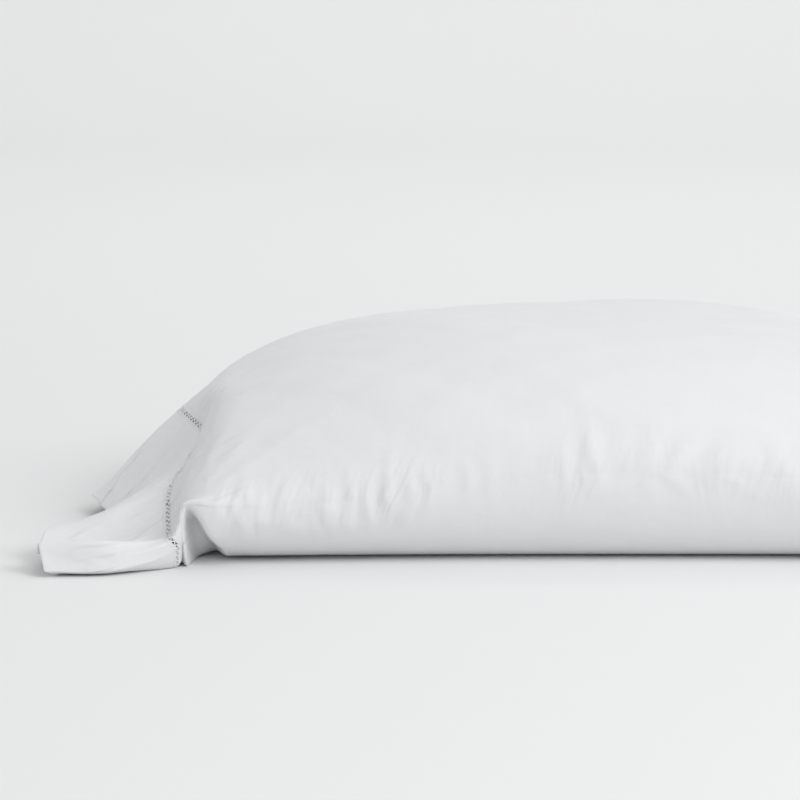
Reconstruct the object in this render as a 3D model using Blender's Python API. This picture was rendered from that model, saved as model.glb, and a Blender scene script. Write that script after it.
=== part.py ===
"""A standard pillowcase on its plump pillow, lying on its back, its open end falling from the pillow to the surface.

Metres, +Z up. +X runs along the case from its open mouth (-X) to its sewn end (+X), and +Y away from the side
that is seen first. The origin is on the surface, under the middle of the footprint.

The case is one folded cloth, so it is one solid: filled where the pillow is inside it, and a thin-walled tube with
an open mouth past the pillow's end. Its surface is a loft through rows of points. Each row is one ring round the
case, made of a top and a bottom curve that meet at the near and the far side fold.
"""

import bpy
import numpy as np

# The flat cloth
FREE_LENGTH = 0.13  # cloth past the pillow's end: 30 mm, the drawn-thread band, and a 100 mm hem
STITCH_AT = 0.030  # from the pillow's end to the drawn-thread band
HALF_HEM_AT = 0.080
WALL = 0.002  # hem and cloth, as one wall
LEAST_GAP = 0.0008  # between the two panels' insides, at the side folds

# The filled part, about its own middle
CROWN_HEIGHT = 0.160
CROWN_BASE = 0.062  # the crest comes down along a crown of this much less height, and from here to the ends' height
HALF_WIDTH = 0.226
CORNER_FLARE = 0.017  # the side folds stand this much further out at the corners
SEWN_END_X = 0.306
CORNER_REACH = 0.016  # the corners reach this much further along than the middle of the sewn end
PILLOW_END_X = -0.300
FOLD_HEIGHT_MIDDLE = 0.072
FOLD_HEIGHT_SEWN_END = 0.040
FOLD_HEIGHT_MOUTH_END = 0.046
FOLD_RISES_FROM = -0.260  # the side folds stay low from the mouth's end to here, and rise from here to the middle
SEAM_HALF_THICKNESS = 0.0012
CORNER_SINK = 1.2  # how far the crown sinks towards the corners at the mouth's end
CONTACT_SHARE = 0.74  # of the half width, flat on the surface
CONTACT_SHARE_ALONG = 0.84

# Each row is one fold line of the open end, from the pillow's end to the hem's edge. The place along x follows
# from the fall, because the line is FREE_LENGTH of cloth long, less what small creases take up.
FALLS = (
    # name, share of the cloth left by creases, x at the root, then y and z at the root, the band, half way and the edge
    ("near fold", 1.00, -0.3085, (-0.2345, 0.0470), (-0.2375, 0.0176), (-0.2560, 0.0045), (-0.2600, 0.0045)),
    ("lobe", 0.95, -0.3095, (-0.2385, 0.0510), (-0.2440, 0.0248), (-0.2500, 0.0270), (-0.2480, 0.0250)),
    ("near valley", 0.98, -0.3070, (-0.2270, 0.0475), (-0.2180, 0.0240), (-0.2120, 0.0110), (-0.2120, 0.0070)),
    ("near ridge", 0.94, -0.3060, (-0.1750, 0.0670), (-0.1700, 0.0470), (-0.1780, 0.0330), (-0.1880, 0.0230)),
    ("crease", 0.96, -0.2940, (-0.0520, 0.1000), (-0.0600, 0.0735), (-0.0680, 0.0390), (-0.0750, 0.0065)),
    ("flap", 0.97, -0.3035, (0.0000, 0.1005), (0.0000, 0.0835), (0.0000, 0.0500), (0.0000, 0.0150)),
    ("far dip", 0.90, -0.3030, (0.0700, 0.0930), (0.0680, 0.0680), (0.0620, 0.0300), (0.0560, 0.0070)),
    ("far ridge", 0.80, -0.3020, (0.1500, 0.0830), (0.1450, 0.0600), (0.1330, 0.0310), (0.1180, 0.0175)),
    ("far fold", 0.80, -0.3010, (0.2330, 0.0480), (0.2320, 0.0320), (0.2180, 0.0130), (0.1960, 0.0055)),
)
FOLD_RADII = (0.020, 0.012, 0.009, 0.007)  # how softly the folds turn at the root, the band, half way and the edge
TIP_RADIUS = 0.0045  # at the root, the near corner is sharper than the rest
TIP_SHARE = 0.17  # of the way across
UNDER_ROOT = 0.016  # the under panel leaves the pillow this much sooner than the side folds do
UNDER_DRAW = 0.026  # and its hem is drawn in by this much in the middle

# The recess under the near corner, where the cloth is folded in between the pillow and the lobe. It is no wider than a
# line at the corner's tip, and widens back along the pillow towards the surface.
RECESS = 0.030
RECESS_FROM = -0.011  # from the pillow's end, at the tip
RECESS_FROM_LOW = -0.029  # and at the surface
RECESS_TO = 0.003
RECESS_SOFTNESS = 0.010

BODY_ROWS = 22
ROOT_ROWS = 4  # from the last body station to the pillow's end
BAND_ROWS = 5
HEM_ROWS = 6
POCKET_ROWS = 8  # rows that the hollow reaches back over, from the hem's edge
ACROSS = 44  # steps across each panel


def cubic_rows(keys, places):
    """A smooth path through keys, one every whole number: the cubic whose slope at a key is half the step between its
    neighbours. keys has one row for each key, and places says where to read it."""
    keys = np.asarray(keys, float)
    last = len(keys) - 1
    padded = np.concatenate([2 * keys[:1] - keys[1:2], keys, 2 * keys[-1:] - keys[-2:-1]])
    place = np.clip(np.asarray(places, float), 0, last - 1e-9)
    first = place.astype(int)
    t = (place - first).reshape(-1, *[1] * (keys.ndim - 1))
    a, b, c, d = (padded[first + k] for k in range(4))
    return b + 0.5 * t * (c - a + t * (2 * a - 5 * b + 4 * c - d + t * (3 * (b - c) + d - a)))


def spaced(count):
    """count + 1 shares of the way across a panel, from 0 to 1, closer together near the side folds."""
    even = np.linspace(-1, 1, count + 1)
    return 0.5 + 0.5 * (0.35 * even + 0.65 * np.sin(even * np.pi / 2))


def measured_off(curve, shares):
    """Points at these shares of a curve's length, so that a row's steps are steps of cloth."""
    lengths = np.linalg.norm(np.diff(curve, axis=0), axis=1)
    along = np.concatenate([[0], np.cumsum(lengths)])
    return np.stack([np.interp(shares * along[-1], along, curve[:, k]) for k in range(3)], axis=1)


def fold_height(x):
    """Height of the side folds: low at the mouth's end, highest in the middle, and low again at the sewn end."""
    if x > 0:
        return FOLD_HEIGHT_MIDDLE + (FOLD_HEIGHT_SEWN_END - FOLD_HEIGHT_MIDDLE) * (x / SEWN_END_X) ** 2.4
    share = np.clip(1 - x / FOLD_RISES_FROM, 0, 1)
    return FOLD_HEIGHT_MOUTH_END + (FOLD_HEIGHT_MIDDLE - FOLD_HEIGHT_MOUTH_END) * share**2 * (3 - 2 * share)


def crest_height(x, along):
    """Height of the top along its middle: a crown, (1 - along^p)^0.5, that comes down to the side folds' height."""
    end = FOLD_HEIGHT_SEWN_END if x > 0 else FOLD_HEIGHT_MOUTH_END
    reach = SEWN_END_X if x > 0 else -PILLOW_END_X
    base = CROWN_BASE + (end - CROWN_BASE) * abs(x / reach) ** 2.4
    return base + (CROWN_HEIGHT - CROWN_BASE) * (1 - along ** (2.75 if x > 0 else 2.9)) ** 0.5


def body_curve(x, top, points=241):
    """One panel's curve across the filled part, near side first. The top is a crown, (1 - |y|^2.5)^0.5 of the way from
    the side folds up to the crest. The bottom is flat, and rounds up to the side folds."""
    across = np.sin(np.linspace(-np.pi / 2, np.pi / 2, points))
    reach = SEWN_END_X if x > 0 else -PILLOW_END_X * 1.12
    along = min(abs(x / reach), 1.0)
    edge = fold_height(x)
    y = (HALF_WIDTH + CORNER_FLARE * along**5) * across
    ends = 0.5 * CORNER_REACH * across**2 * along**4
    if top:
        crown = (1 - np.abs(across) ** 2.5) ** 0.5
        if x < 0:
            crown *= 1 - CORNER_SINK * (np.abs(across) ** 2.5 * along**2.9) ** 1.5
        z = edge + SEAM_HALF_THICKNESS + (crest_height(x, along) - edge) * crown
    else:
        side = np.clip((np.abs(across) - CONTACT_SHARE) / (1 - CONTACT_SHARE), 0, 1)
        end = np.clip((along - CONTACT_SHARE_ALONG) / (1 - CONTACT_SHARE_ALONG), 0, 1)
        end = end if x > 0 else 0.0
        flat = np.sqrt(1 - side**2) * np.sqrt(1 - end**2)
        z = (edge - SEAM_HALF_THICKNESS) * (1 - flat)
    return np.stack([x + np.sign(x) * ends, y, z], axis=1)


def fall_lines():
    """Points of each fold line at the root, the band, half way and the hem's edge, nine lines by four points."""
    cloth = np.diff([0, STITCH_AT, HALF_HEM_AT, FREE_LENGTH])
    lines = []
    for _, share, x, *stops in FALLS:
        across_and_up = np.array(stops)
        steps = np.diff(across_and_up, axis=0)
        runs = np.sqrt(np.maximum((share * cloth) ** 2 - (steps**2).sum(axis=1), 0))
        along = x - np.concatenate([[0], np.cumsum(runs)])
        lines.append(np.column_stack([along, across_and_up]))
    return np.array(lines)


def softened(corners, radius, points=241):
    """A smooth curve along a chain of corners: each point of the chain is averaged with its neighbours under a bell
    curve of this radius. Its ends stay where they are."""
    chain = measured_off(corners, np.linspace(0, 1, points))
    step = np.linalg.norm(np.diff(corners, axis=0), axis=1).sum() / (points - 1)
    reach = int(3 * radius / step)
    before, after = 2 * chain[0] - chain[reach:0:-1], 2 * chain[-1] - chain[-2 : -reach - 2 : -1]
    weights = np.exp(-0.5 * (np.arange(-reach, reach + 1) * step / radius) ** 2)
    longer = np.concatenate([before, chain, after])
    return np.stack([np.convolve(longer[:, k], weights / weights.sum(), "valid") for k in range(3)], axis=1)


def fall_curve(stops, top, depth, radius):
    """One panel's curve across the open end. stops are the nine fold lines' points there, and depth is 0 at the
    pillow's end and 1 at the hem. The bottom runs from fold to fold, flat on the surface between them."""
    if top:
        tip = np.clip(1 - np.linspace(0, 1, 241) / TIP_SHARE, 0, 1)[:, None]
        tip = tip**2 * (3 - 2 * tip)
        return softened(stops, radius) * (1 - tip) + softened(stops, TIP_RADIUS) * tip
    near, far = stops[0], stops[-1]
    across = np.linspace(-1, 1, 241)
    share = (across + 1) / 2
    by_near = np.clip(1 - share / 0.20, 0, 1) ** 2
    middle = (1 - across**2) ** 2 * (UNDER_ROOT * (1 - depth) + UNDER_DRAW * depth)
    x = far[0] + (near[0] - far[0]) * by_near + middle
    y = near[1] + (far[1] - near[1]) * share
    edge = np.where(across < 0, near[2], far[2])
    side = np.clip((np.abs(across) - 0.92) / 0.08, 0, 1)
    return np.stack([x, y, edge * side**2], axis=1)


def recess(panel, past, shares):
    """The bottom panel's rows with the cloth folded in under the near corner. Along, the fold starts softly at a line
    that slants from the tip down to the surface, and ends softly where the lobe begins. Across, it is 0 at the side
    fold, whole just under it, and fades out along the surface."""
    across = shares[None, :]
    down = np.clip(across / 0.08, 0, 1)
    start = RECESS_FROM + (RECESS_FROM_LOW - RECESS_FROM) * down
    opens = np.clip((past[:, None] - start) / RECESS_SOFTNESS, 0, 1)
    closes = np.clip((RECESS_TO - past[:, None]) / RECESS_SOFTNESS, 0, 1)
    depth = np.minimum(opens, closes)
    depth = depth**2 * (3 - 2 * depth)
    panel[..., 1] += RECESS * depth * np.clip(across / 0.03, 0, 1) * np.clip((0.35 - across) / 0.25, 0, 1)


def outer_rings():
    """Every ring of the outer surface, sewn end first: rows by points by three, each ring closed."""
    shares = spaced(ACROSS)
    stations = SEWN_END_X * np.sin(np.linspace(np.pi / 2, 0, 9))
    stations = np.concatenate([stations, np.linspace(0, PILLOW_END_X * 0.93, 9)[1:]])
    lines = fall_lines()
    last = len(stations) - 1
    counts = (ROOT_ROWS, BAND_ROWS, HEM_ROWS // 2, HEM_ROWS // 2)
    steps = [np.linspace(last + k, last + k + 1, count + 1)[1:] for k, count in enumerate(counts)]
    places = np.concatenate([np.linspace(0, last, BODY_ROWS + 1), *steps])
    past = np.interp(places - last, [-1, 0, 1, 2, 3, 4], [-0.056, -0.026, 0, STITCH_AT, HALF_HEM_AT, FREE_LENGTH])
    panels = {}
    for top in (True, False):
        body = [measured_off(body_curve(x, top), shares) for x in stations]
        falls = [
            measured_off(fall_curve(lines[:, k], top, depth, FOLD_RADII[k]), shares)
            for k, depth in enumerate((0.0, 0.25, 0.6, 1.0))
        ]
        panels[top] = cubic_rows(body + falls, places)
    recess(panels[False], past, shares)
    ends = (panels[True][:, [0, -1]] + panels[False][:, [0, -1]]) / 2
    for panel in panels.values():
        panel[:, [0, -1]] = ends
        panel[..., 2] = np.maximum(panel[..., 2], 0)
    return np.concatenate([panels[True], panels[False][:, -2:0:-1]], axis=1)


def normals_of(rings):
    """Outward unit normals of a grid of rings."""
    along = np.gradient(rings, axis=0)
    around = np.roll(rings, -1, axis=1) - np.roll(rings, 1, axis=1)
    normals = np.cross(around, along)
    return normals / np.maximum(np.linalg.norm(normals, axis=2, keepdims=True), 1e-9)


def ring_faces(first, second, count):
    """The four-sided faces between two rings of count points that start at these indices."""
    step = np.arange(count)
    ahead = (step + 1) % count
    return np.stack([first + step, first + ahead, second + ahead, second + step], axis=1).tolist()


def pillow_end(ring):
    """The hollow's last ring, a little inside the given one. Its top and bottom points are in pairs, one above the
    other, so that the wall of the pillow's end is upright."""
    half = len(ring) // 2
    top = ring[: half + 1]
    bottom = np.concatenate([ring[half:], ring[:1]])[::-1]
    seat, low_seat = np.maximum.accumulate(top[:, 1]), np.maximum.accumulate(bottom[:, 1])
    y = seat * np.where(seat < 0, 0.75, 0.87) + 0.0006 * np.minimum(np.arange(half + 1), 5)
    x = np.maximum(np.interp(y, seat, top[:, 0]), np.interp(y, low_seat, bottom[:, 0])) + 0.002
    height = np.minimum(np.interp(y, seat, top[:, 2]) - 0.008, 0.017 + 0.6 * (y - y[0]))
    upper = np.column_stack([x, y, height])
    lower = np.column_stack([x, y, 0.008 + 0.0045 * np.clip(1 - np.arange(half + 1) / 3, 0, 1)])
    lower[[0, -1]] = upper[[0, -1]] = (upper[[0, -1]] + lower[[0, -1]]) / 2
    return np.concatenate([upper, lower[-2:0:-1]])


def case_mesh():
    """The closed surface: outside from the sewn end to the hem, over the edge, and back inside to the pillow."""
    outer = outer_rings()
    inner = (outer - WALL * normals_of(outer))[::-1][:POCKET_ROWS]
    half = outer.shape[1] // 2
    upper, lower = inner[:, 1:half, 2], inner[:, :half:-1, 2]
    middle = (upper + lower) / 2
    gap = np.maximum(upper - lower, LEAST_GAP)
    upper[:], lower[:] = middle + gap / 2, middle - gap / 2
    rings = np.concatenate([outer, inner, [pillow_end(inner[-1])]])
    count = rings.shape[1]
    points = rings.reshape(-1, 3)
    points[:, :2] -= (points.min(axis=0) + points.max(axis=0))[:2] / 2
    faces = []
    for k in range(len(rings) - 1):
        faces += ring_faces(k * count, (k + 1) * count, count)
    half = count // 2
    for k in range(half):  # the sewn end: top point k and the bottom point under it
        faces.append((k + 1, k, (count - k) % count, count - k - 1))
    last = len(points) - count
    for k in range(half):  # the pillow's end, at the bottom of the hollow
        faces.append((last + k, last + k + 1, last + count - k - 1, last + (count - k) % count))
    return points, faces


def main():
    for old in list(bpy.data.objects):
        bpy.data.objects.remove(old)
    points, faces = case_mesh()
    mesh = bpy.data.meshes.new("pillowcase")
    clean = [tuple(dict.fromkeys(face)) for face in faces]
    mesh.from_pydata(points.tolist(), [], [face for face in clean if len(face) > 2])
    mesh.update()
    mesh.shade_smooth()
    case = bpy.data.objects.new("pillowcase", mesh)
    bpy.context.scene.collection.objects.link(case)
    cotton = bpy.data.materials.new("white_cotton")
    cotton.use_nodes = True
    shader = cotton.node_tree.nodes["Principled BSDF"]
    shader.inputs["Base Color"].default_value = (0.86, 0.86, 0.87, 1)
    shader.inputs["Roughness"].default_value = 0.75
    shader.inputs["Metallic"].default_value = 0.0
    mesh.materials.append(cotton)


main()
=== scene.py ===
# %% [markdown]
# # A hemstitched pillowcase on its pillow
#
# A pillowcase is one length of cotton, folded in two, sewn along the sides and one end, and hemmed at its mouth. This
# one has a plump pillow in it, and its mouth falls open past the pillow's end. We build the case as the cloth that it
# is: the filled part, the band of drawn threads, and the deep hem past it. Every shape is a surface of two parameters,
# worked out with numpy as whole arrays.

import bpy
import numpy as np
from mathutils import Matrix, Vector


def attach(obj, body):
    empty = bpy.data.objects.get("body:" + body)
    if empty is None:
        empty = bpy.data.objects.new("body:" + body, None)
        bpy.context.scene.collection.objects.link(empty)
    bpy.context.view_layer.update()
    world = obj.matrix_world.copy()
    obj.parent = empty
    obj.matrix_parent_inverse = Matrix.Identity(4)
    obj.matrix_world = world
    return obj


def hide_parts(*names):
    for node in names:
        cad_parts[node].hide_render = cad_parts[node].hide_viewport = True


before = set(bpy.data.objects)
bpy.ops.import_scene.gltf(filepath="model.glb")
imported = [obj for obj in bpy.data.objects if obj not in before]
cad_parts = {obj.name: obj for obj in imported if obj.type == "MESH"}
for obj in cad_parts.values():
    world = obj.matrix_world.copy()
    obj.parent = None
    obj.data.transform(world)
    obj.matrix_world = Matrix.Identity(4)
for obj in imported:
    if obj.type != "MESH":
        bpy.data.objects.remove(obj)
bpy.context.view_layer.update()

# %% [markdown]
# ## The camera
#
# The case is seen from its near side, a little from above, through a long lens, so that its far side is hardly smaller
# than its near side. The sewn end runs out of the picture on the right.

# %% Make the camera
CAMERA_DISTANCE = 3.0
CAMERA_ELEVATION = np.radians(9.0)
IMAGE_PIXELS = 800
FOCAL_PIXELS = 3807.0  # the lens, in pixels of an image this wide
SENSOR = 36.0
AIM = Vector((-0.0984, 0.0, 0.091))

camera = bpy.data.objects.new("camera", bpy.data.cameras.new("camera"))
bpy.context.scene.collection.objects.link(camera)
camera.data.sensor_width = SENSOR
camera.data.lens = SENSOR * FOCAL_PIXELS / IMAGE_PIXELS
camera.data.clip_end = 50
backwards = Vector((0, -np.cos(CAMERA_ELEVATION), np.sin(CAMERA_ELEVATION)))
camera.location = AIM + backwards * CAMERA_DISTANCE
camera.rotation_euler = (-backwards).to_track_quat("-Z", "Y").to_euler()
bpy.context.scene.camera = camera
print("the lens is", round(camera.data.lens, 1), "mm")

# %% [markdown]
# ## The form of the filled part
#
# A filled bag is thickest in the middle, and its side folds stand out at mid height. They lie low towards the ends,
# where there is less filling. The crest falls from the middle along a crown, (1 - along^p)^0.5, and across, the top
# rises from the side folds to the crest in the same way. Below, the case lies flat on the surface and rounds up to the
# folds. At the mouth's end the crown sinks towards the corners, where the pillow hardly fills the bag.

# %% The filled part
CROWN_HEIGHT = 0.160
CROWN_BASE = 0.062
HALF_WIDTH = 0.226
CORNER_FLARE = 0.017
SEWN_END_X = 0.306
CORNER_REACH = 0.016
PILLOW_END_X = -0.300
FOLD_HEIGHTS = {"middle": 0.072, "sewn end": 0.040, "mouth end": 0.046}
FOLD_RISES_FROM = -0.260
SEAM_HALF_THICKNESS = 0.0012
CROWN_ACROSS = 2.5  # the crown's power across, and along
CROWN_ALONG = {"sewn end": 2.75, "mouth end": 2.9}
MOUTH_STRETCH = 1.12  # the crown would come down this many times as far out as the pillow's end
FALL_POWER = 2.4  # of the side folds and of the crown's base, towards an end
CORNER_SINK = 1.2
CONTACT_SHARE = 0.74  # how much of the way out the underside is flat, across and along
CONTACT_SHARE_ALONG = 0.84
CURVE_POINTS = 481


def smooth(share):
    """0 below 0, 1 above 1, and a soft step between: 3 s^2 - 2 s^3."""
    share = np.clip(share, 0, 1)
    return share**2 * (3 - 2 * share)


def filled_curve(x, top):
    """One panel's curve across the filled part, near side first.
    Top: from the side folds' height to the crest's, by (1 - |across|^2.5)^0.5, less the sink at the mouth's corners.
    Bottom: fold height x (1 - flat), where flat is 1 on the surface and falls to 0 at the fold as a quarter circle."""
    across = np.sin(np.linspace(-np.pi / 2, np.pi / 2, CURVE_POINTS))
    sewn = x > 0
    side_end, end_x = ("sewn end", SEWN_END_X) if sewn else ("mouth end", PILLOW_END_X)
    end_height, power = FOLD_HEIGHTS[side_end], CROWN_ALONG[side_end]
    along = min(abs(x) / (end_x if sewn else -end_x * MOUTH_STRETCH), 1.0)
    fall = abs(x / end_x) ** FALL_POWER
    rise = 1 - fall if sewn else smooth(1 - x / FOLD_RISES_FROM)
    fold = end_height + (FOLD_HEIGHTS["middle"] - end_height) * rise
    y = (HALF_WIDTH + CORNER_FLARE * along**5) * across
    ends = 0.5 * CORNER_REACH * across**2 * along**4
    if top:
        base = CROWN_BASE + (end_height - CROWN_BASE) * fall
        crest = base + (CROWN_HEIGHT - CROWN_BASE) * (1 - along**power) ** 0.5
        crown = (1 - np.abs(across) ** CROWN_ACROSS) ** 0.5
        if not sewn:
            crown *= 1 - CORNER_SINK * (np.abs(across) ** CROWN_ACROSS * along**power) ** 1.5
        z = fold + SEAM_HALF_THICKNESS + (crest - fold) * crown
    else:
        side = np.clip((np.abs(across) - CONTACT_SHARE) / (1 - CONTACT_SHARE), 0, 1)
        end = np.clip((along - CONTACT_SHARE_ALONG) / (1 - CONTACT_SHARE_ALONG), 0, 1) * sewn
        z = (fold - SEAM_HALF_THICKNESS) * (1 - np.sqrt(1 - side**2) * np.sqrt(1 - end**2))
    return np.stack([x + np.sign(x) * ends, y, z], axis=1)


print("the crown is", round(float(filled_curve(0.0, top=True)[:, 2].max()) * 1000, 1), "mm high")

# %% [markdown]
# ## The open end
#
# Past the pillow's end the cloth is free for 130 mm. It slopes down to the surface and gathers in a few soft folds:
# a straight flap on the far side, a crease, a ridge, and a lobe that hangs from the near corner and lies down on the
# surface. The easiest way to draw such folds is by their ridges and valleys. Each is one line of cloth, running down
# from the pillow's end to the hem's edge. We give where each line lies across and how high it is, and since cloth
# doesn't stretch, its length says how far along it reaches.

# %% The fold lines
FREE_LENGTH = 0.130
STITCH_AT = 0.030
HALF_HEM_AT = 0.080
FALLS = (
    # name, share of the cloth that creases leave, x at the root, then y and z at the root, band, half way and edge
    ("near fold", 1.00, -0.3085, (-0.2345, 0.0470), (-0.2375, 0.0176), (-0.2560, 0.0045), (-0.2600, 0.0045)),
    ("lobe", 0.95, -0.3095, (-0.2385, 0.0510), (-0.2440, 0.0248), (-0.2500, 0.0270), (-0.2480, 0.0250)),
    ("near valley", 0.98, -0.3070, (-0.2270, 0.0475), (-0.2180, 0.0240), (-0.2120, 0.0110), (-0.2120, 0.0070)),
    ("near ridge", 0.94, -0.3060, (-0.1750, 0.0670), (-0.1700, 0.0470), (-0.1780, 0.0330), (-0.1880, 0.0230)),
    ("crease", 0.96, -0.2940, (-0.0520, 0.1000), (-0.0600, 0.0735), (-0.0680, 0.0390), (-0.0750, 0.0065)),
    ("flap", 0.97, -0.3035, (0.0000, 0.1005), (0.0000, 0.0835), (0.0000, 0.0500), (0.0000, 0.0150)),
    ("far dip", 0.90, -0.3030, (0.0700, 0.0930), (0.0680, 0.0680), (0.0620, 0.0300), (0.0560, 0.0070)),
    ("far ridge", 0.82, -0.3020, (0.1500, 0.0830), (0.1450, 0.0590), (0.1330, 0.0270), (0.1180, 0.0165)),
    ("far fold", 0.82, -0.3010, (0.2330, 0.0480), (0.2320, 0.0320), (0.2180, 0.0130), (0.1900, 0.0055)),
)
STOP_DEPTHS = (0.0, 0.25, 0.6, 1.0)  # how far down the root, band, half way and edge are
FOLD_RADII = (0.018, 0.010, 0.0075, 0.006)  # how round the folds are at each
TIP_RADIUS = 0.0026
TIP_SHARE = 0.17
CHAIN_POINTS = 961
UNDER_ROOT = 0.016  # how far back the bottom's middle is drawn, at the root and at the edge
UNDER_DRAW = 0.026
NEAR_PULL = 0.20  # share of the way across where it turns back from the near fold
CURL = 0.08  # share of a half width in which the bottom curls up to a side fold


def fall_lines():
    """Nine lines by four points. Each step along x is what is left of its length of cloth after its steps sideways
    and down: (cloth^2 - dy^2 - dz^2)^0.5."""
    cloth = np.diff([0, STITCH_AT, HALF_HEM_AT, FREE_LENGTH])
    stops = np.array([line[3:] for line in FALLS])
    share = np.array([line[1] for line in FALLS])[:, None]
    steps = np.diff(stops, axis=1)
    runs = np.sqrt(np.maximum((share * cloth) ** 2 - (steps**2).sum(axis=2), 0))
    roots = np.array([line[2] for line in FALLS])[:, None]
    along = roots - np.concatenate([np.zeros((len(FALLS), 1)), np.cumsum(runs, axis=1)], axis=1)
    return np.concatenate([along[..., None], stops], axis=2)


def measured_off(curve, shares):
    """Points at these shares of a curve's length, so that a row's steps are steps of cloth."""
    lengths = np.linalg.norm(np.diff(curve, axis=0), axis=1)
    along = np.concatenate([[0], np.cumsum(lengths)])
    return np.stack([np.interp(shares * along[-1], along, curve[:, k]) for k in range(3)], axis=1)


def softened(corners, radius):
    """A smooth curve along a chain of corners: each point is averaged with its neighbours under a bell curve of this
    radius. Between two folds the cloth stays flat, and each fold is round."""
    chain = measured_off(corners, np.linspace(0, 1, CHAIN_POINTS))
    step = np.linalg.norm(np.diff(corners, axis=0), axis=1).sum() / (CHAIN_POINTS - 1)
    reach = int(3 * radius / step)
    before, after = 2 * chain[0] - chain[reach:0:-1], 2 * chain[-1] - chain[-2 : -reach - 2 : -1]
    weights = np.exp(-0.5 * (np.arange(-reach, reach + 1) * step / radius) ** 2)
    longer = np.concatenate([before, chain, after])
    return np.stack([np.convolve(longer[:, k], weights / weights.sum(), "valid") for k in range(3)], axis=1)


def fall_curve(stops, top, depth, radius):
    """One panel's curve across the open end, from the nine lines' points there. depth is 0 at the pillow's end and 1
    at the hem's edge. The near corner is sharper than the rest: it is softened less, and the two curves are mixed. The
    bottom runs from fold to fold, flat on the surface between them."""
    if top:
        tip = smooth(1 - np.linspace(0, 1, CHAIN_POINTS) / TIP_SHARE)[:, None]
        return softened(stops, radius) * (1 - tip) + softened(stops, TIP_RADIUS) * tip
    near, far = stops[0], stops[-1]
    across = np.linspace(-1, 1, CURVE_POINTS)
    share = (across + 1) / 2
    by_near = np.clip(1 - share / NEAR_PULL, 0, 1) ** 2
    middle = (1 - across**2) ** 2 * (UNDER_ROOT * (1 - depth) + UNDER_DRAW * depth)
    x = far[0] + (near[0] - far[0]) * by_near + middle
    y = near[1] + (far[1] - near[1]) * share
    edge = np.where(across < 0, near[2], far[2])
    side = np.clip((np.abs(across) - (1 - CURL)) / CURL, 0, 1)
    return np.stack([x, y, edge * side**2], axis=1)


print(len(FALLS), "fold lines,", len(FALLS[0]) - 3, "stops on each")

# %% [markdown]
# ## The recess under the near corner
#
# The near corner stands out as a tip. Right under it the cloth is folded in between the pillow and the lobe, so that
# the pillow's end shows as a clean outline with a dark recess beside it.

# %% Fold the cloth in under the tip
RECESS = 0.030
RECESS_FROM = -0.011  # past the pillow's end, at the tip
RECESS_FROM_LOW = -0.029  # and at the surface
RECESS_TO = 0.003
RECESS_SOFTNESS = 0.010
RECESS_LOW_AT = 0.08  # share of the way across, where the slanting line meets the surface
RECESS_FULL_AT = 0.03  # and from where it is as deep as it gets
RECESS_FADES = (0.35, 0.25)  # it ends at the first of these, and fades over the second


def recess(panel, past, shares):
    """The bottom panel's rows with the cloth folded in: a soft step in along a slanting line, and a soft step out."""
    across = shares[None, :]
    start = RECESS_FROM + (RECESS_FROM_LOW - RECESS_FROM) * np.clip(across / RECESS_LOW_AT, 0, 1)
    opens, closes = (past[:, None] - start) / RECESS_SOFTNESS, (RECESS_TO - past[:, None]) / RECESS_SOFTNESS
    depth = smooth(np.minimum(opens, closes))
    fades = np.clip((RECESS_FADES[0] - across) / RECESS_FADES[1], 0, 1)
    panel[..., 1] += RECESS * depth * np.clip(across / RECESS_FULL_AT, 0, 1) * fades


print("the cloth is folded in by up to", round(RECESS * 1000, 1), "mm")

# %% [markdown]
# ## One grid for the whole cloth
#
# We join both parts into one grid of points. Its rows are rings round the case, from the sewn end to the hem, and
# steps in it are steps of cloth. That way every later detail, such as a pucker or a stitch, can be placed by how far
# past the pillow's end and how far round the flat cloth it is.

# %% Rings round the case
AROUND = 210  # steps across each panel
PANEL = 0.53
BODY_LENGTH = 0.67
SLIT = (0.0272, 0.0298)  # the drawn-thread band's edges, past the pillow's end
MID_SLIT = sum(SLIT) / 2
ROOT_FROM = -0.026  # where the rows get closer together, before the pillow's end
ROWS = {"sewn half": 86, "mouth half": 86, "root": 13, "ruffle": 18, "hem": 54}
KEY_STEPS = 8  # between the curves that shape each half of the filled part
LAST_KEY = 0.93  # share of the way to the pillow's end where the last of them is


def cubic_rows(keys, places):
    """A smooth path through keys, one every whole number: the cubic whose slope at a key is half the step between its
    neighbours."""
    keys = np.asarray(keys, float)
    last = len(keys) - 1
    padded = np.concatenate([2 * keys[:1] - keys[1:2], keys, 2 * keys[-1:] - keys[-2:-1]])
    place = np.clip(np.asarray(places, float), 0, last - 1e-9)
    first = place.astype(int)
    t = (place - first).reshape(-1, *[1] * (keys.ndim - 1))
    a, b, c, d = (padded[first + k] for k in range(4))
    return b + 0.5 * t * (c - a + t * (2 * a - 5 * b + 4 * c - d + t * (3 * (b - c) + d - a)))


def spaced(count):
    """Shares of the way across a panel, from 0 to 1, closer together near the side folds."""
    even = np.linspace(-1, 1, count + 1)
    return 0.5 + 0.5 * (0.45 * even + 0.55 * np.sin(even * np.pi / 2))


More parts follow.
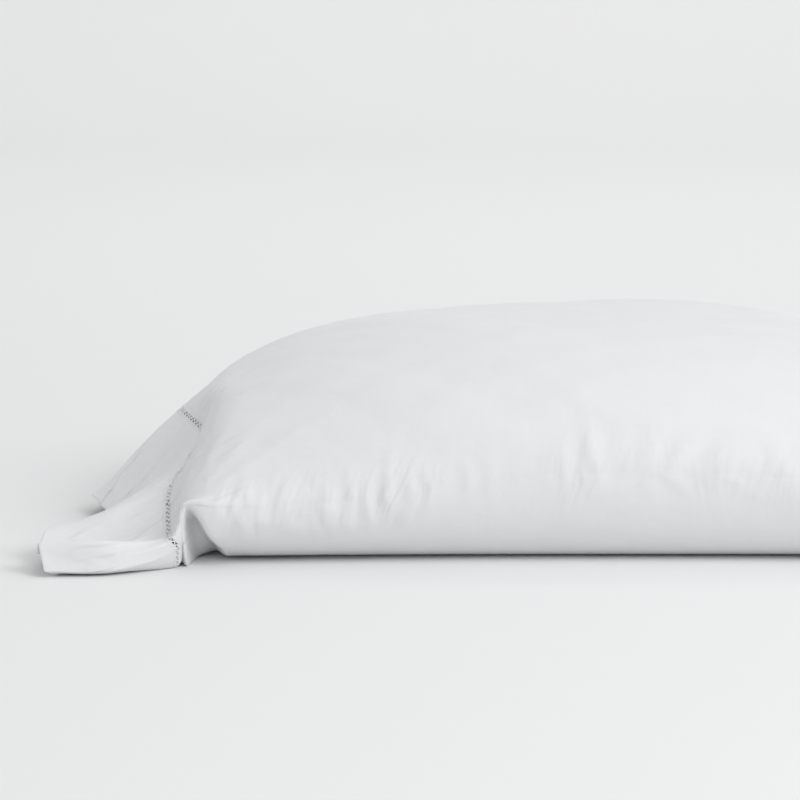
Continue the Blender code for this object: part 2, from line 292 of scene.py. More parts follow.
def outer_grid(shares, places, past):
    """Rings of the outer surface at these places among the key rows, sewn end first, as (rows, points, 3)."""
    stations = SEWN_END_X * np.sin(np.linspace(np.pi / 2, 0, KEY_STEPS + 1))
    stations = np.concatenate([stations, np.linspace(0, PILLOW_END_X * LAST_KEY, KEY_STEPS + 1)[1:]])
    lines = fall_lines()
    panels = []
    for top in (True, False):
        body = [measured_off(filled_curve(x, top), shares) for x in stations]
        falls = [
            measured_off(fall_curve(lines[:, k], top, depth, FOLD_RADII[k]), shares)
            for k, depth in enumerate(STOP_DEPTHS)
        ]
        panels.append(cubic_rows(body + falls, places))
    recess(panels[1], past, shares)
    ends = (panels[0][:, [0, -1]] + panels[1][:, [0, -1]]) / 2
    for panel in panels:
        panel[:, [0, -1]] = ends
        panel[..., 2] = np.maximum(panel[..., 2], 0)
    return np.concatenate([panels[0], panels[1][:, -2:0:-1]], axis=1)


key_past = np.array([ROOT_FROM, 0, STITCH_AT, HALF_HEM_AT, FREE_LENGTH])
past_free = np.concatenate(
    [
        np.linspace(ROOT_FROM, 0, ROWS["root"] + 1)[:-1],
        np.linspace(0, SLIT[0], ROWS["ruffle"]),
        np.linspace(SLIT[1], FREE_LENGTH, ROWS["hem"]),
    ]
)
places = np.concatenate(
    [
        np.linspace(0, KEY_STEPS, ROWS["sewn half"] + 1)[:-1],
        np.linspace(KEY_STEPS, 2 * KEY_STEPS, ROWS["mouth half"] + 1)[:-1],
        2 * KEY_STEPS + np.interp(past_free, key_past, np.arange(len(key_past))),
    ]
)
past_body = np.linspace(-BODY_LENGTH, ROOT_FROM, len(places) - len(past_free) + 1)[:-1]
past = np.concatenate([past_body, past_free])
shares = spaced(AROUND)
rings = outer_grid(shares, places, past)
whole = rings.reshape(-1, 3)
rings[..., :2] -= (whole.min(axis=0) + whole.max(axis=0))[:2] / 2
round_steps = np.linalg.norm(np.diff(rings, axis=1, append=rings[:, :1]), axis=2).mean(axis=0)
round_cloth = np.concatenate([[0], np.cumsum(round_steps)])
print("grid of", rings.shape[0], "rows by", rings.shape[1], "points, girth", round(float(round_cloth[-1]), 3), "m")

# %% [markdown]
# ## Puckers, tension folds and lumps
#
# A seam is sewn a little tighter than the cloth on either side of it, so the cloth puckers along it: short ridges run
# away from the side folds, each with a shallow valley beside it. A corner that is pulled out by its pillow has longer
# folds that fan out from it. And a pillow is never quite even, so the crown has low, wide lumps. Each of them moves the
# cloth out or in along its own normal by a height that we work out on the flat cloth.

# %% Small relief, placed on the flat cloth
near_side = np.concatenate([shares, -shares[-2:0:-1]])[None, :] * PANEL  # from the near fold, over the top or under
far_side = np.sign(near_side + 1e-9) * (PANEL - np.abs(near_side))
far_side[0, AROUND] = 0.0
cloth_past = past[:, None]
PUCKER_WIDTHS = (0.0038, 0.0068)
PUCKER_LEANS = (-0.60, 0.35)  # how far a pucker runs along the seam for each metre away from it
PUCKER_SPREAD = 6  # how many of its widths it gets wider in a metre


def ridge(distance, width):
    """A ridge with a shallow valley on each side: a narrow bell curve less half of a wide one."""
    return np.exp(-((distance / width) ** 2)) - 0.5 * np.exp(-((distance / (2 * width)) ** 2))


def puckers(along, away, spans, spacing, height, seed):
    """Ridges that cross a seam at uneven steps, and reach further on one side of it than on the other. along runs
    with the seam and away from it, in metres of cloth. A span is (start, end, strength, reach over, reach under)."""
    chance = np.random.default_rng(seed)
    relief = np.zeros(np.broadcast(along, away).shape)
    for start, end, strength, over_most, under_most in spans:
        centre = start
        while centre < end:
            width, lean = chance.uniform(*PUCKER_WIDTHS), chance.uniform(*PUCKER_LEANS)
            over, under = chance.uniform(0.3, 1.0) * over_most, chance.uniform(0.3, 1.0) * under_most
            reach = np.where(away >= 0, over, under)
            off = along - centre - lean * np.abs(away)
            across = ridge(off, width * (1 + PUCKER_SPREAD * np.abs(away)))
            fade = np.exp(-((np.abs(away) / reach) ** 2))
            relief += strength * height * chance.uniform(0.2, 1.4) * across * fade
            centre += spacing * chance.uniform(0.35, 1.75)
    return relief


def tension_fold(along, away, start, end, width, height):
    """One long fold between two places on the flat cloth, highest a third of the way along and fading at its ends."""
    step = np.subtract(end, start)
    length = np.hypot(*step)
    share = ((along - start[0]) * step[0] + (away - start[1]) * step[1]) / length**2
    off = ((along - start[0]) * step[1] - (away - start[1]) * step[0]) / length
    fade = smooth(share / 0.3) * smooth((1 - share) / 0.7)
    return height * fade * ridge(off, width * (0.7 + 0.8 * np.clip(share, 0, 1)))


def lumps(along, away, waves, height, seed):
    """Low, wide unevenness: a sum of slanting waves of different lengths, each with its own phase."""
    chance = np.random.default_rng(seed)
    relief = np.zeros(np.broadcast(along, away).shape)
    for length in waves:
        angle, phase = chance.uniform(0, np.pi), chance.uniform(0, 2 * np.pi)
        relief += np.sin(2 * np.pi * (along * np.cos(angle) + away * np.sin(angle)) / length + phase) * length
    return relief * height / sum(waves)


CORNER_FOLDS = (
    # side, then (past the pillow's end, from the side fold) at the start and the end, width and height
    ("near", (-0.010, 0.006), (-0.150, 0.048), 0.0055, 0.0009),
    ("near", (-0.010, 0.012), (-0.135, 0.095), 0.0060, 0.0010),
    ("near", (-0.006, 0.016), (-0.105, 0.150), 0.0065, 0.0009),
    ("near", (0.000, 0.020), (-0.050, 0.165), 0.0070, 0.0010),
    ("near", (0.004, 0.030), (-0.010, 0.150), 0.0070, 0.0012),
    ("near", (-0.030, -0.004), (-0.150, -0.030), 0.0075, 0.0006),
    ("far", (-0.006, 0.008), (-0.120, 0.070), 0.0065, 0.0010),
    ("far", (0.000, 0.014), (-0.080, 0.120), 0.0070, 0.0010),
    ("far", (0.004, 0.024), (-0.020, 0.140), 0.0070, 0.0012),
    ("near", (-0.660, 0.010), (-0.560, 0.060), 0.0060, 0.0009),
    ("near", (-0.664, 0.016), (-0.600, 0.100), 0.0065, 0.0009),
    ("far", (-0.660, 0.010), (-0.555, 0.050), 0.0060, 0.0009),
    ("far", (-0.664, 0.018), (-0.595, 0.105), 0.0065, 0.0012),
)
SEAM_SPANS = (
    # from and to, past the pillow's end, strength, then reach over the side fold and under it
    (-0.655, -0.440, 0.9, 0.030, 0.026),
    (-0.440, -0.300, 1.0, 0.036, 0.016),
    (-0.300, -0.200, 0.4, 0.026, 0.018),
    (-0.200, -0.022, 1.0, 0.022, 0.034),
)
END_SPANS = ((0.02, PANEL - 0.02, 1.0, 0.034, 0.030),)  # the same, along the sewn end
SIDE_FADE = 0.05  # lumps fade over this far from a side fold, from the pillow's end and from the sewn end
MOUTH_FADE = 0.05
SEWN_FADE = 0.06

seam_relief = puckers(cloth_past, near_side, SEAM_SPANS, spacing=0.0150, height=0.0027, seed=11)
seam_relief += puckers(cloth_past, far_side, SEAM_SPANS, spacing=0.0160, height=0.0025, seed=12)
end_away = np.where(near_side >= 0, 1.0, -1.0) * (cloth_past + BODY_LENGTH)
seam_relief += puckers(np.abs(near_side), end_away, END_SPANS, spacing=0.020, height=0.0012, seed=13)
fan_relief = sum(
    tension_fold(cloth_past, near_side if side == "near" else far_side, start, end, width, height)
    for side, start, end, width, height in CORNER_FOLDS
)
from_folds = smooth(near_side / SIDE_FADE) * smooth(far_side / SIDE_FADE)
crown_relief = from_folds * smooth(-cloth_past / MOUTH_FADE) * smooth((cloth_past + BODY_LENGTH) / SEWN_FADE)
crown_relief *= (
    lumps(cloth_past, near_side, (0.30, 0.23, 0.17, 0.12), height=0.0034, seed=14)
    + lumps(cloth_past, near_side, (0.070, 0.052, 0.041, 0.033), height=0.0009, seed=15)
)
print("puckers", round(float(np.ptp(seam_relief)) * 1000, 2), "mm")
print("lumps", round(float(np.ptp(crown_relief)) * 1000, 2), "mm")

# %% [markdown]
# ## Creases of the free cloth
#
# Past the pillow, the ruffle between the pillow's end and the band is gathered a little, because the sewn hem can't
# stretch. The hem itself keeps long creases from being pressed and folded.

# %% Relief of the ruffle and the hem
HEM_CREASES = (
    # from and to on the flat cloth: (past the pillow's end, from the near fold), width and height
    ((0.030, 0.024), (0.118, 0.014), 0.0036, 0.0014),
    ((0.052, 0.040), (0.129, 0.032), 0.0034, 0.0013),
    ((0.076, 0.002), (0.129, 0.022), 0.0034, 0.0012),
    ((0.034, 0.056), (0.126, 0.060), 0.0040, 0.0019),
    ((0.010, 0.074), (0.120, 0.090), 0.0044, 0.0022),
    ((0.006, 0.100), (0.128, 0.116), 0.0046, 0.0024),
    ((-0.014, 0.128), (0.124, 0.136), 0.0048, 0.0023),
    ((-0.026, 0.172), (0.126, 0.158), 0.0050, 0.0024),
    ((-0.030, 0.222), (0.110, 0.206), 0.0055, 0.0021),
    ((0.010, 0.262), (0.128, 0.250), 0.0055, 0.0020),
    ((0.030, 0.330), (0.126, 0.322), 0.0070, 0.0012),
    ((0.010, 0.400), (0.110, 0.412), 0.0065, 0.0012),
    ((0.020, 0.455), (0.126, 0.446), 0.0060, 0.0012),
    ((0.030, 0.500), (0.120, 0.506), 0.0050, 0.0010),
)
GATHERS = (0.035, PANEL - 0.03)  # from and to, across the top
GATHER_STEP = 0.013
GATHER_WIDTH = 0.004
GATHERS_AT = 0.010  # past the pillow's end
GATHER_LEAN = 0.15
RIPPLES_FADE = 0.03

hem_relief = sum(tension_fold(cloth_past, near_side, *crease) for crease in HEM_CREASES)
chance = np.random.default_rng(16)
gathers = np.arange(*GATHERS, GATHER_STEP)
for centre in gathers + chance.uniform(-0.004, 0.004, len(gathers)):
    run = np.exp(-(((cloth_past - GATHERS_AT) / chance.uniform(0.010, 0.020)) ** 2))
    gather = ridge(near_side - centre - GATHER_LEAN * cloth_past, GATHER_WIDTH)
    hem_relief += chance.uniform(0.3, 1.1) * 0.001 * gather * run
ripples = lumps(cloth_past, near_side, (0.085, 0.06, 0.045), height=0.0011, seed=17)
ripples = ripples * smooth(cloth_past / RIPPLES_FADE) * from_folds
relief = seam_relief + fan_relief + crown_relief + hem_relief + ripples
print("the free cloth's creases rise", round(float(hem_relief.max()) * 1000, 2), "mm")

# %% [markdown]
# ## Helpers for cloth
#
# Cloth has two faces and a thickness. These helpers find which way the surface faces, set a second face inside the
# first, and turn rings of points into a closed mesh with a map of the flat cloth on it.

# %% Normals, walls and meshes


def normals_of(grid):
    """Outward unit normals of a grid of rings: the cross product of the steps round and along."""
    along = np.gradient(grid, axis=0)
    around = np.roll(grid, -1, axis=1) - np.roll(grid, 1, axis=1)
    normals = np.cross(around, along)
    return normals / np.maximum(np.linalg.norm(normals, axis=2, keepdims=True), 1e-9)


def inside_of(grid, wall, least_gap=0.0008):
    """The inner face of a tube of cloth: the outer one, moved in by the wall, with its two panels kept apart."""
    inner = grid - wall * normals_of(grid)
    half = grid.shape[1] // 2
    upper, lower = inner[:, 1:half, 2], inner[:, :half:-1, 2]
    middle = (upper + lower) / 2
    gap = np.maximum(upper - lower, least_gap)
    upper[:], lower[:] = middle + gap / 2, middle - gap / 2
    return inner


def rounded_edge(outer, before, inner, bulge):
    """A ring between a tube's outer and inner edge, pushed out past them by bulge, which rounds the edge off."""
    step = outer - before
    return (outer + inner) / 2 + step / np.linalg.norm(step, axis=1, keepdims=True) * bulge


def add_piece(name, points, faces):
    """A smooth-shaded mesh object of these points and faces."""
    mesh = bpy.data.meshes.new(name)
    mesh.from_pydata(points.reshape(-1, 3).tolist(), [], faces)
    mesh.update()
    mesh.shade_smooth()
    piece = bpy.data.objects.new(name, mesh)
    bpy.context.scene.collection.objects.link(piece)
    print(name, len(mesh.vertices), "points", len(mesh.polygons), "faces")
    return piece


def add_tube(name, grid, along, looped, capped):
    """A tube of rings. Its map has how far along and how far round the flat cloth each corner is, in metres, and runs
    on past the last point of a ring to the first. A looped tube joins its last ring to its first. A capped one is
    closed at both ends by pairing each upper point with the lower point under it."""
    rows, count = grid.shape[:2]
    row = np.arange(rows if looped else rows - 1)[:, None]
    step = np.arange(count)[None, :]
    corner_rows = np.stack(np.broadcast_arrays(row, row, row + 1, row + 1 + 0 * step), axis=-1).reshape(-1, 4) % rows
    corner_steps = np.stack(np.broadcast_arrays(step + 0 * row, step + 1, step + 1, step), axis=-1).reshape(-1, 4)
    if capped:
        pairs = np.arange(count // 2)
        near, ahead, far, behind = pairs + 1, pairs, count - pairs, count - pairs - 1
        first = np.stack([near, ahead, far, behind], axis=1)
        last = np.stack([ahead, near, behind, far], axis=1)
        corner_rows = np.concatenate([corner_rows, np.zeros_like(first), np.full_like(last, rows - 1)])
        corner_steps = np.concatenate([corner_steps, first, last])
    faces = corner_rows * count + corner_steps % count
    flat = np.stack([along[corner_rows], round_cloth[corner_steps]], axis=-1)
    kept = [list(dict.fromkeys(face)) for face in faces.tolist()]
    firsts = [[face.index(corner) for corner in one] for face, one in zip(faces.tolist(), kept)]
    piece = add_piece(name, grid, kept)
    layer = piece.data.uv_layers.new(name="cloth")
    corners = np.concatenate([flat[k, places] for k, places in enumerate(firsts)])
    layer.data.foreach_set("uv", corners.ravel().astype(np.float32))
    return piece


upwards = normals_of(rings)[ROWS["sewn half"], AROUND // 2, 2]
print("on top of the crown the normal points up by", round(float(upwards), 2))

# %% [markdown]
# ## Raise the relief, and cut the cloth at the drawn threads
#
# The relief moves each point along its normal, and never below the surface that the case lies on. The band of drawn
# threads is an open slit bridged by little bundles, so the cloth is cut there: the filled part ends at one edge of the
# slit and the hem begins at the other. The hem is two layers of cloth, so it is thicker.

# %% The filled part, and the mouth's inside as far back as the pillow
CLOTH = 0.0008
HEM_CLOTH = 0.0012
BAND_BULGE = 0.0003  # how far an edge is rounded out, at the band and at the mouth
MOUTH_BULGE = 0.0005
LINING_ROWS = 26
PILLOW_BULGE = 0.004
PILLOW_ROWS = (
    # height, as a share of the lining's last ring, and how far out it bulges, as a share of the bulge
    (0.95, 0.0),
    (0.80, 1.0),
    (0.55, 1.6),
    (0.25, 1.9),
)

outer = rings + relief[..., None] * normals_of(rings)
outer[..., 2] = np.maximum(outer[..., 2], 0.0)
upto = int(np.searchsorted(past, MID_SLIT))
body_rows, hem_rows = outer[:upto], outer[upto:]

lining = inside_of(body_rows, CLOTH)[::-1][:LINING_ROWS]
lining_past = past[:upto][::-1][:LINING_ROWS]
seat = lining[-1]
upper_seat, lower_seat = seat[: AROUND + 1], np.concatenate([seat[AROUND:], seat[:1]])[::-1]
bulge = np.sin(np.pi * shares)[:, None] * np.array([[PILLOW_BULGE, 0, 0]])
middle_height = (upper_seat[:, 2:] + lower_seat[:, 2:]) / 2
pillow_rings = []
for share, out in PILLOW_ROWS:
    upper, lower = (
        np.column_stack([half[:, :2], middle_height + (half[:, 2:] - middle_height) * share]) - bulge * out
        for half in (upper_seat, lower_seat)
    )
    pillow_rings.append(np.concatenate([upper, lower[-2:0:-1]]))
case_grid = np.concatenate(
    [body_rows, [rounded_edge(body_rows[-1], body_rows[-2], lining[0], BAND_BULGE)], lining, pillow_rings]
)
case_past = np.concatenate([past[:upto], [SLIT[0]], lining_past, np.full(len(pillow_rings), lining_past[-1])])
case = add_tube("filled_case", case_grid, case_past, looped=False, capped=True)

# %% [markdown]
# ## The hem
#
# The hem is a tube of its own: down its outer face, round the folded edge at the mouth, back up its inner face, and
# round the edge beside the band.

# %% The hem's tube
hem_inside = inside_of(hem_rows, HEM_CLOTH)
mouth_edge = rounded_edge(hem_rows[-1], hem_rows[-2], hem_inside[-1], MOUTH_BULGE)
band_edge = rounded_edge(hem_rows[0], hem_rows[1], hem_inside[0], BAND_BULGE)
hem_grid = np.concatenate([hem_rows, [mouth_edge], hem_inside[::-1], [band_edge]])
hem_past = past[upto:]
hem_past = np.concatenate([hem_past, hem_past[-1:], hem_past[::-1], hem_past[:1]])
hem = add_tube("hem", hem_grid, hem_past, looped=True, capped=False)
print("the hem is", round(float(FREE_LENGTH - hem_past[0]) * 1000, 1), "mm deep")

# %% [markdown]
# ## The drawn threads
#
# For a hemstitch, some threads of the cloth are drawn out along the hem, and the ones that cross them are caught
# together in little bundles. Two bundles leave each place on one edge, for the two nearest places on the other, so
# they cross the slit in a zigzag. Fine stitches wrap over both edges of the slit and hold the bundles.

# %% Tubes for bundles and stitches
PERIOD = 0.0053  # from one pair of bundles to the next
BUNDLE = 0.00068
BUNDLE_STOPS = (-0.08, 0.12, 0.5, 0.88, 1.08)  # shares of the way over the slit
BUNDLE_RADII = (1.15, 0.95, 0.8, 0.95, 1.15)  # there, times BUNDLE
STITCHES_A_PAIR = 3


def loop_points(ring, shares_round):
    """Points at these shares of the way round a closed ring."""
    return measured_off(np.concatenate([ring, ring[:1]]), np.mod(shares_round, 1.0))


def tubes(paths, sides_out, radii, sides=6):
    """Many short tubes at once, as points and faces. paths is (tubes, stops, 3), sides_out is a direction across each
    tube, and radii has one value for each stop."""
    ahead = np.gradient(paths, axis=1)
    ahead /= np.linalg.norm(ahead, axis=2, keepdims=True)
    side = np.cross(ahead, sides_out[:, None, :])
    side /= np.linalg.norm(side, axis=2, keepdims=True)
    up = np.cross(side, ahead)
    angle = np.linspace(0, 2 * np.pi, sides, endpoint=False)[:, None]
    around = np.cos(angle) * side[:, :, None, :] + np.sin(angle) * up[:, :, None, :]
    points = paths[:, :, None, :] + around * np.asarray(radii)[None, :, None, None]
    number, stops = paths.shape[:2]
    base = np.arange(number)[:, None] * (stops * sides)
    row = np.arange(stops - 1)[:, None] * sides
    step = np.arange(sides)[None, :]
    next_step = (step + 1) % sides
    one = np.stack([row + next_step, row + step, row + sides + step, row + sides + next_step], axis=-1).reshape(-1, 4)
    faces = (base[:, None] + one[None]).reshape(-1, 4).tolist()
    caps = np.stack([np.arange(sides), np.arange(sides)[::-1] + (stops - 1) * sides])
    faces += (base[:, None] + caps[None]).reshape(-1, sides).tolist()
    return points.reshape(-1, 3), faces


girth = np.linalg.norm(np.diff(body_rows[-1], axis=0, append=body_rows[-1][:1]), axis=1).sum()
pairs = int(round(girth / PERIOD))
even = np.arange(pairs) / pairs
case_edge = (body_rows[-1] + lining[0]) / 2
hem_edge = (hem_rows[0] + hem_inside[0]) / 2
on_case, on_hem = loop_points(case_edge, even), loop_points(hem_edge, even + 0.5 / pairs)
starts, ends = np.concatenate([on_case, on_case]), np.concatenate([on_hem, np.roll(on_hem, 1, axis=0)])
facing = np.tile(loop_points(normals_of(body_rows)[-1], even), (2, 1))
stops = np.array(BUNDLE_STOPS)[None, :, None]
paths = starts[:, None] * (1 - stops) + ends[:, None] * stops
points, faces = tubes(paths, facing, BUNDLE * np.array(BUNDLE_RADII))
threads = add_piece("drawn_threads", points, faces)
print(len(paths), "bundles, in", pairs, "pairs round", round(float(girth), 3), "m")

# %% [markdown]
# ## Stitches over the band's edges
#
# The stitching thread lies about 1.5 mm up the cloth, goes over the edge of the slit and comes back on the inside.
# There are three such stitches to a pair of bundles, each a little longer or shorter than its neighbour, as sewing is.

# %% Wrap stitches over each edge, three to a pair of bundles
STITCH = 0.00016
STITCH_REACH = 0.0016
STITCH_LENGTHS = (0.75, 1.1)  # the shortest and the longest, times STITCH_REACH
STITCH_SWAY = 0.12  # how far a stitch strays along the edge, times the space between two
INSIDE_REACH = 0.5  # how far it goes on the inside, times STITCH_REACH
LIFT_EDGE, LIFT_CLOTH = 0.7, 0.5  # how far out of the cloth it lies, times STITCH
LIP = 0.16  # how far it passes out over the edge, times STITCH_REACH
STITCH_RADII = (0.7, 1.0, 1.0, 1.0, 1.0, 0.7)


def edge_stitches(rows, rows_inside, edge_first, seed):
    """Paths that wrap over one edge of the slit, and the direction along that edge at each of them. rows run away from
    the edge if edge_first."""
    order = slice(None) if edge_first else slice(None, None, -1)
    rows, rows_inside = rows[order], rows_inside[order]
    number = pairs * STITCHES_A_PAIR
    chance = np.random.default_rng(seed)
    place = (np.arange(number) + chance.uniform(-STITCH_SWAY, STITCH_SWAY, number)) / number
    outside_up = normals_of(rows if edge_first else rows[::-1])[order][0]
    edge = loop_points(rows[0] + outside_up * STITCH * LIFT_EDGE, place)
    spread = np.linalg.norm(rows[1] - rows[0], axis=1).mean()
    second = rows[0] + (rows[1] - rows[0]) * (STITCH_REACH / spread)
    second_inside = rows_inside[0] + (rows_inside[1] - rows_inside[0]) * (STITCH_REACH * INSIDE_REACH / spread)
    reach = chance.uniform(*STITCH_LENGTHS, number)[:, None]
    away = loop_points(second + outside_up * STITCH * LIFT_CLOTH, place)
    inside_edge = loop_points(rows_inside[0] - outside_up * STITCH * LIFT_EDGE, place)
    inside_away = loop_points(second_inside - outside_up * STITCH * LIFT_CLOTH, place)
    lip = (edge + inside_edge) / 2 - (away - edge) * LIP
    outer_end, outer_half = edge + (away - edge) * reach, edge + (away - edge) * 0.4
    paths = np.stack([outer_end, outer_half, edge, lip, inside_edge, inside_away], axis=1)
    directions = loop_points(rows[0], place + 0.2 / number) - loop_points(rows[0], place - 0.2 / number)
    return paths, directions / np.linalg.norm(directions, axis=1, keepdims=True)


case_paths, case_ways = edge_stitches(body_rows[-4:], lining[:4][::-1], edge_first=False, seed=21)
hem_paths, hem_ways = edge_stitches(hem_rows[:4], hem_inside[:4], edge_first=True, seed=22)
paths, ways = np.concatenate([case_paths, hem_paths]), np.concatenate([case_ways, hem_ways])
points, faces = tubes(paths, ways, STITCH * np.array(STITCH_RADII), sides=5)
stitches = add_piece("edge_stitches", points, faces)
print(len(paths), "stitches")

# %% [markdown]
# ## Helpers for shader nodes
#
# A pattern in a material is a chain of small nodes. Each helper adds one node to the tree that its inputs are in, and
# gives back what the node puts out, so that a chain reads like a formula.

# %% Nodes as functions


def new_group(name, vectors, values):
    """A shader node group that turns these vectors into these values, its input node and its output node."""
    group = bpy.data.node_groups.new(name, "ShaderNodeTree")
    for socket in vectors:
        group.interface.new_socket(socket, in_out="INPUT", socket_type="NodeSocketVector")
    for socket in values:
        group.interface.new_socket(socket, in_out="OUTPUT", socket_type="NodeSocketFloat")
    return group, group.nodes.new("NodeGroupInput"), group.nodes.new("NodeGroupOutput")


def add_node(kind, values, **settings):
    """A node of this kind, in the tree that the sockets among its values are in. Each value goes to the input of that
    name or number, as a link if it is a socket."""
    tree = next(value.id_data for value in values.values() if isinstance(value, bpy.types.NodeSocket))
    node = tree.nodes.new("ShaderNode" + kind)
    for name, value in settings.items():
        setattr(node, name, value)
    for place, value in values.items():
        if isinstance(value, bpy.types.NodeSocket):
            tree.links.new(value, node.inputs[place])
        else:
            node.inputs[place].default_value = value
    return node


def maths(operation, *values):
    """One maths node's value. Each of its inputs is a socket or a number."""
    return add_node("Math", dict(enumerate(values)), operation=operation).outputs[0]


def product(*values):
    """The product of sockets and numbers."""
    total = values[0]
    for value in values[1:]:
        total = maths("MULTIPLY", total, value)
    return total


def noise(vector, scale, detail=2.0, roughness=0.5):
    """A noise texture's value, 0 to 1, with this many features a metre."""
    values = {"Vector": vector, "Scale": scale, "Detail": detail, "Roughness": roughness}
    return add_node("TexNoise", values).outputs["Fac"]


def stretched(vector, scale):
    """The vector, multiplied by one value for each of its axes."""
    return add_node("VectorMath", {0: vector, 1: scale}, operation="MULTIPLY").outputs[0]


def parts(vector):
    """A vector's values along its axes, as sockets."""
    return add_node("SeparateXYZ", {0: vector}).outputs


# %% [markdown]
# ## White cotton
#
# This is a close, smooth weave with a soft sheen. Up close it is two sets of threads that pass over and under each
# other, a quarter of a millimetre apart, with some threads thicker than others. From further off it shows as a faint
# unevenness of the light. The cloth is a little crumpled as well. One node group works out both heights: the weave's
# from the map of the flat cloth, and the crumple's from the place on the piece.

# %% The weave and the crumple, as one group of nodes
THREAD_PITCH = 0.00024
THREAD_RISE = 0.000018
SLUBS = 60  # thick places in a metre along a thread
SLUB_STRETCH = 30.0  # and how many times more of them in a metre across the threads
SLUB_RISE = 0.000035
CRUMPLE_RISE = 0.0016
CREASE_RISE = 0.00022
weave, weave_in, weave_out = new_group("cotton_weave", ["Cloth", "Place"], ["Height", "Shade"])
flat, place = weave_in.outputs["Cloth"], weave_in.outputs["Place"]
warp, weft = (maths("SINE", product(parts(flat)[axis], float(np.pi / THREAD_PITCH))) for axis in ("X", "Y"))
slub = maths(
    "ADD",
    noise(stretched(flat, (1.0, SLUB_STRETCH, 1.0)), SLUBS),
    noise(stretched(flat, (SLUB_STRETCH, 1.0, 1.0)), SLUBS),
)
crumple = product(noise(place, 26, 3.0, 0.45), CRUMPLE_RISE)
creasing = product(noise(place, 95), CREASE_RISE)
woven = maths("ADD", product(warp, weft, THREAD_RISE), product(slub, SLUB_RISE))
weave.links.new(maths("ADD", woven, maths("ADD", crumple, creasing)), weave_out.inputs["Height"])
weave.links.new(product(slub, 0.5), weave_out.inputs["Shade"])
print("cotton_weave has", len(weave.nodes), "nodes")

# %% [markdown]
# ## Fine puckers and creases
#
# Some of the puckers beside a seam are finer than our grid, and so are the thin creases where cotton has been folded.
# Both are noise on the map of the flat cloth. For the puckers it is drawn out across the seam and leans one way and
# then the other, and it fades a few centimetres from the seam. For the creases it is drawn out down the free cloth, and
# only the line where it passes its middle value is raised.

# %% One group of nodes for fine folds, with two heights
GIRTH = float(round_cloth[-1])
FAR_FOLD = float(round_cloth[AROUND])
FINE_PUCKER = 0.0027
FINE_CREASE = 0.0014
PUCKERS_TO = (0.036, 0.002)  # from the seam: where they are gone, and where they are full
PUCKERS_AT = (
    # past the pillow's end: from where there are none to where they are full, at both ends of each stretch of seam
    ((-0.008, -0.030), (-0.235, -0.190)),
    ((-0.285, -0.330), (-0.655, -0.600)),
)
CREASES_AT = (-0.070, 0.0)
CREASE_SLANT = 0.12


def placed(first, second):
    """A vector of two sockets, for a noise to read."""
    return add_node("CombineXYZ", {0: first, 1: second}).outputs[0]


def stepped(value, start, end):
    """0 where the value is at start, 1 where it is at end, and a soft step between."""
    values = {"Value": value, "From Min": start, "From Max": end}
    return add_node("MapRange", values, interpolation_type="SMOOTHSTEP").outputs["Result"]


fine, fine_in, fine_out = new_group("fine_folds", ["Cloth"], ["Puckers", "Creases"])
split = parts(fine_in.outputs["Cloth"])
down, around = split["X"], split["Y"]
over_near = maths("WRAP", around, GIRTH / 2, -GIRTH / 2)  # more than 0 above the near fold, and less below it
over_far = maths("SUBTRACT", FAR_FOLD, around)
nearer = maths("LESS_THAN", maths("ABSOLUTE", over_near), maths("ABSOLUTE", over_far))
over = maths("MULTIPLY_ADD", nearer, maths("SUBTRACT", over_near, over_far), over_far)
lean = maths("SUBTRACT", noise(placed(down, product(over, 0.3)), 14), 0.40)
leaning = maths("MULTIPLY_ADD", product(lean, 2.6), over, down)
ridges = noise(placed(leaning, product(over, 0.20)), 100, 1.5)
by_mouth, by_sewn_end = (product(stepped(down, *first), stepped(down, *last)) for first, last in PUCKERS_AT)
stretches = maths("MULTIPLY_ADD", maths("ADD", by_mouth, by_sewn_end), 0.85, 0.15)
patches = stepped(noise(placed(down, around), 16), 0.30, 0.56)
reach = stepped(maths("ABSOLUTE", over), *PUCKERS_TO)
body_only = stepped(down, *PUCKERS_AT[0][0])
pucker = product(ridges, stretches, patches, reach, body_only, FINE_PUCKER)
fine.links.new(pucker, fine_out.inputs["Puckers"])
slant = maths("ADD", around, product(down, CREASE_SLANT))
folded = noise(placed(product(down, 0.20), slant), 30, 2.5)
line = stepped(maths("ABSOLUTE", maths("SUBTRACT", folded, 0.5)), 0.050, 0.0)
worn = stepped(noise(placed(down, around), 17), 0.40, 0.62)
free_only = stepped(down, *CREASES_AT)
fine.links.new(product(line, worn, free_only, FINE_CREASE), fine_out.inputs["Creases"])
print("fine_folds has", len(fine.nodes), "nodes")

# %% [markdown]
# ## Needle holes
#
# The needle goes through the cloth a few millimetres from each edge of the slit. Its holes are a row of tiny dots on
# either side of the band, in painted shade: grey for the shade inside each hole, and pressed in a little by the bump.
# They are drawn on the map of the flat cloth: a dot is where the place along the seam, less the nearest whole stitch,
# and the distance from the seam are both small.

# %% Two rows of dots beside the band
HOLE_PITCH = PERIOD / STITCHES_A_PAIR
HOLE_RADIUS = 0.00032
HOLES_BESIDE = 0.0034
HOLE_STRENGTH = 1.6
holes, holes_in, holes_out = new_group("needle_holes", ["Cloth"], ["Mask"])
split = parts(holes_in.outputs["Cloth"])
phase = maths("FRACT", maths("DIVIDE", split["Y"], HOLE_PITCH))
beside = product(maths("SUBTRACT", phase, 0.5), HOLE_PITCH)
rows_of_holes = []
for line in (SLIT[0] - HOLES_BESIDE, SLIT[1] + HOLES_BESIDE):
    off = maths("SUBTRACT", split["X"], line)
    squared = maths("ADD", product(off, off), product(beside, beside))
    near = maths("SUBTRACT", 1.0, maths("DIVIDE", maths("SQRT", squared), HOLE_RADIUS))
    rows_of_holes.append(maths("MAXIMUM", near, 0.0))
# the mask says where a hole is: it sets the painted shade in the colour and the dent in the bump
mask = maths("MINIMUM", product(maths("MAXIMUM", *rows_of_holes), HOLE_STRENGTH), 1.0)
